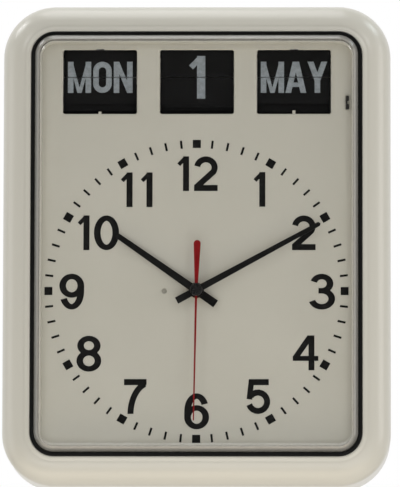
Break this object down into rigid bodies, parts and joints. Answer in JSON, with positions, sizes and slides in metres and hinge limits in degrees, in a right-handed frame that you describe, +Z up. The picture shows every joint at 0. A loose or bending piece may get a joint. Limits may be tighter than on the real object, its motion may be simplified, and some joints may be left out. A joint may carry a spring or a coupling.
{
  "type": "wall calendar clock",
  "caption": "Wall clock with analogue hands and split-flap weekday, date and month windows behind a raised clear lens in a deep ivory case.",
  "frame": {"origin": "top of the hanger's keyhole slot, on the wall plane", "axes": "+X to the right seen from the front, +Y into the wall, +Z up"},
  "size_m": [0.3236, 0.095, 0.402],
  "materials": {
    "ivory_case": "gloss, moulded ivory",
    "black_rubber": "satin",
    "clear_lens": "clear polished acrylic",
    "grey_dial": "matt paint",
    "black_ink": "matt ink",
    "dark_clip": "satin",
    "grey_pin": "satin",
    "black_hand": "satin lacquer",
    "red_hand": "satin lacquer",
    "black_cap": "satin",
    "brass": "turned",
    "black_chassis": "moulded",
    "zinc_screw": "zinc plated",
    "back_plastic": "fine moulded texture",
    "cell_wrap": "plain wrapped can",
    "spring_steel": "plated",
    "movement_plastic": "moulded",
    "board_green": "solder mask",
    "copper_wire": "enamelled copper",
    "white_gear": "moulded",
    "black_knob": "satin",
    "black_card": "matt sheet"
  },
  "bodies": {
    "root": {"case_shell": "ivory_case", "lens_gasket": "black_rubber", "front_lens": "clear_lens", "dial_plate": "grey_dial", "dial_markings": "black_ink", "dial_clip": "dark_clip", "locating_pin": "grey_pin", "dial_nut": "brass", "chassis_plate": "black_chassis", "case_screws": "zinc_screw", "rear_cover": "back_plastic", "battery": "cell_wrap", "battery_contacts": "spring_steel", "hanger_plate": "spring_steel", "movement_base": "movement_plastic", "movement_cover": "movement_plastic", "train_bridge": "movement_plastic", "circuit_board": "board_green", "stator": "spring_steel", "coil": "copper_wire", "day_frame": "black_chassis", "day_axle": "spring_steel", "day_catch": "spring_steel", "date_frame": "black_chassis", "date_axle": "spring_steel", "date_catch": "spring_steel", "month_frame": "black_chassis", "month_axle": "spring_steel", "month_catch": "spring_steel"},
    "second_train": {"second_hand": "red_hand", "second_hand_cap": "black_cap", "second_wheel": "white_gear"},
    "rotor": {"rotor": "dark_clip"},
    "step_wheel": {"step_wheel": "white_gear"},
    "third_wheel": {"third_wheel": "white_gear"},
    "centre_wheel": {"centre_wheel": "white_gear"},
    "minute_train": {"minute_hand": "black_hand", "minute_arbor": "brass"},
    "motion_wheel": {"motion_wheel": "white_gear"},
    "hour_train": {"hour_hand": "black_hand", "hour_wheel": "white_gear"},
    "calendar_wheel": {"calendar_wheel": "white_gear"},
    "setting_knob": {"setting_knob": "black_knob"},
    "advance_bar": {"advance_bar": "spring_steel"},
    "battery_cover": {"battery_cover": "back_plastic"},
    "day_drum": {"day_drum": "white_gear", "day_cards": "black_card"},
    "day_top_card": {"day_top_card": "black_card"},
    "day_next_card": {"day_next_card": "black_card"},
    "day_thumbwheel": {"day_thumbwheel": "white_gear"},
    "date_drum": {"date_drum": "white_gear", "date_cards": "black_card"},
    "date_top_card": {"date_top_card": "black_card"},
    "date_next_card": {"date_next_card": "black_card"},
    "date_thumbwheel": {"date_thumbwheel": "white_gear"},
    "month_drum": {"month_drum": "white_gear", "month_cards": "black_card"},
    "month_top_card": {"month_top_card": "black_card"},
    "month_next_card": {"month_next_card": "black_card"},
    "month_thumbwheel": {"month_thumbwheel": "white_gear"}
  },
  "joints": [
    {"name": "second_spin", "type": "hinge", "parent": "root", "child": "second_train", "pos_m": [0, -0.06, -0.2107], "axis": [0, -1, 0], "continuous": true},
    {"name": "rotor_spin", "type": "hinge", "parent": "root", "child": "rotor", "pos_m": [-0.02174, -0.06, -0.2326], "axis": [0, -1, 0], "continuous": true},
    {"name": "step_spin", "type": "hinge", "parent": "root", "child": "step_wheel", "pos_m": [-0.0081, -0.06, -0.22473], "axis": [0, -1, 0], "continuous": true},
    {"name": "third_spin", "type": "hinge", "parent": "root", "child": "third_wheel", "pos_m": [-0.01988, -0.06, -0.19923], "axis": [0, -1, 0], "continuous": true},
    {"name": "centre_spin", "type": "hinge", "parent": "root", "child": "centre_wheel", "pos_m": [0, -0.06, -0.2107], "axis": [0, -1, 0], "continuous": true},
    {"name": "minute_spin", "type": "hinge", "parent": "root", "child": "minute_train", "pos_m": [0, -0.06, -0.2107], "axis": [0, -1, 0], "continuous": true},
    {"name": "motion_spin", "type": "hinge", "parent": "root", "child": "motion_wheel", "pos_m": [0.01559, -0.06, -0.2197], "axis": [0, -1, 0], "continuous": true},
    {"name": "hour_spin", "type": "hinge", "parent": "root", "child": "hour_train", "pos_m": [0, -0.06, -0.2107], "axis": [0, -1, 0], "continuous": true},
    {"name": "calendar_spin", "type": "hinge", "parent": "root", "child": "calendar_wheel", "pos_m": [0, -0.06, -0.1867], "axis": [0, -1, 0], "continuous": true},
    {"name": "knob_spin", "type": "hinge", "parent": "root", "child": "setting_knob", "pos_m": [0.03118, -0.06, -0.2287], "axis": [0, -1, 0], "continuous": true},
    {"name": "bar_lift", "type": "slide", "parent": "root", "child": "advance_bar", "axis": [0, 0, 1], "range_m": [0, 0.004], "stiffness_N_per_m": 60, "springref_m": -0.004},
    {"name": "battery_door", "type": "hinge", "parent": "root", "child": "battery_cover", "pos_m": [0, -0.00665, -0.33355], "axis": [-1, 0, 0], "range_deg": [0, 100]},
    {"name": "day_step", "type": "hinge", "parent": "root", "child": "day_drum", "pos_m": [-0.081, -0.05115, -0.03055], "axis": [1, 0, 0], "range_deg": [0, 25.71]},
    {"name": "day_fall", "type": "hinge", "parent": "day_drum", "child": "day_top_card", "pos_m": [-0.081, -0.06505, -0.02738], "axis": [1, 0, 0], "range_deg": [0, 154.29]},
    {"name": "day_rise", "type": "hinge", "parent": "day_drum", "child": "day_next_card", "pos_m": [-0.081, -0.0623, -0.02166], "axis": [1, 0, 0], "range_deg": [-23.71, 0]},
    {"name": "day_set", "type": "hinge", "parent": "root", "child": "day_thumbwheel", "pos_m": [-0.047, -0.02015, -0.03055], "axis": [1, 0, 0], "range_deg": [-18.57, 0]},
    {"name": "date_step", "type": "hinge", "parent": "root", "child": "date_drum", "pos_m": [0, -0.05115, -0.03055], "axis": [1, 0, 0], "range_deg": [0, 11.61]},
    {"name": "date_fall", "type": "hinge", "parent": "date_drum", "child": "date_top_card", "pos_m": [0, -0.06505, -0.02914], "axis": [1, 0, 0], "range_deg": [0, 168.39]},
    {"name": "date_rise", "type": "hinge", "parent": "date_drum", "child": "date_next_card", "pos_m": [0, -0.06448, -0.02637], "axis": [1, 0, 0], "range_deg": [-9.61, 0]},
    {"name": "date_set", "type": "hinge", "parent": "root", "child": "date_thumbwheel", "pos_m": [0.034, -0.02015, -0.03055], "axis": [1, 0, 0], "range_deg": [-8.39, 0]},
    {"name": "month_step", "type": "hinge", "parent": "root", "child": "month_drum", "pos_m": [0.081, -0.05115, -0.03055], "axis": [1, 0, 0], "range_deg": [0, 30]},
    {"name": "month_fall", "type": "hinge", "parent": "month_drum", "child": "month_top_card", "pos_m": [0.081, -0.06505, -0.02683], "axis": [1, 0, 0], "range_deg": [0, 150]},
    {"name": "month_rise", "type": "hinge", "parent": "month_drum", "child": "month_next_card", "pos_m": [0.081, -0.06133, -0.02037], "axis": [1, 0, 0], "range_deg": [-28, 0]},
    {"name": "month_set", "type": "hinge", "parent": "root", "child": "month_thumbwheel", "pos_m": [0.115, -0.02015, -0.03055], "axis": [1, 0, 0], "range_deg": [-21.67, 0]}
  ],
  "couplings": [
    {"joint": "step_spin", "follows": "second_spin", "ratio": -5},
    {"joint": "rotor_spin", "follows": "second_spin", "ratio": 30},
    {"joint": "third_spin", "follows": "second_spin", "ratio": -0.13333},
    {"joint": "centre_spin", "follows": "second_spin", "ratio": 0.016667},
    {"joint": "motion_spin", "follows": "minute_spin", "ratio": -0.33333},
    {"joint": "hour_spin", "follows": "minute_spin", "ratio": 0.083333},
    {"joint": "calendar_spin", "follows": "minute_spin", "ratio": -0.041667},
    {"joint": "knob_spin", "follows": "minute_spin", "ratio": 1},
    {"joint": "day_fall", "follows": "day_step", "ratio": 6},
    {"joint": "day_rise", "follows": "day_step", "ratio": -0.92222},
    {"joint": "day_set", "follows": "day_step", "ratio": -0.72222},
    {"joint": "date_fall", "follows": "date_step", "ratio": 14.5},
    {"joint": "date_rise", "follows": "date_step", "ratio": -0.82778},
    {"joint": "date_set", "follows": "date_step", "ratio": -0.72222},
    {"joint": "month_fall", "follows": "month_step", "ratio": 5},
    {"joint": "month_rise", "follows": "month_step", "ratio": -0.93333},
    {"joint": "month_set", "follows": "month_step", "ratio": -0.72222}
  ]
}
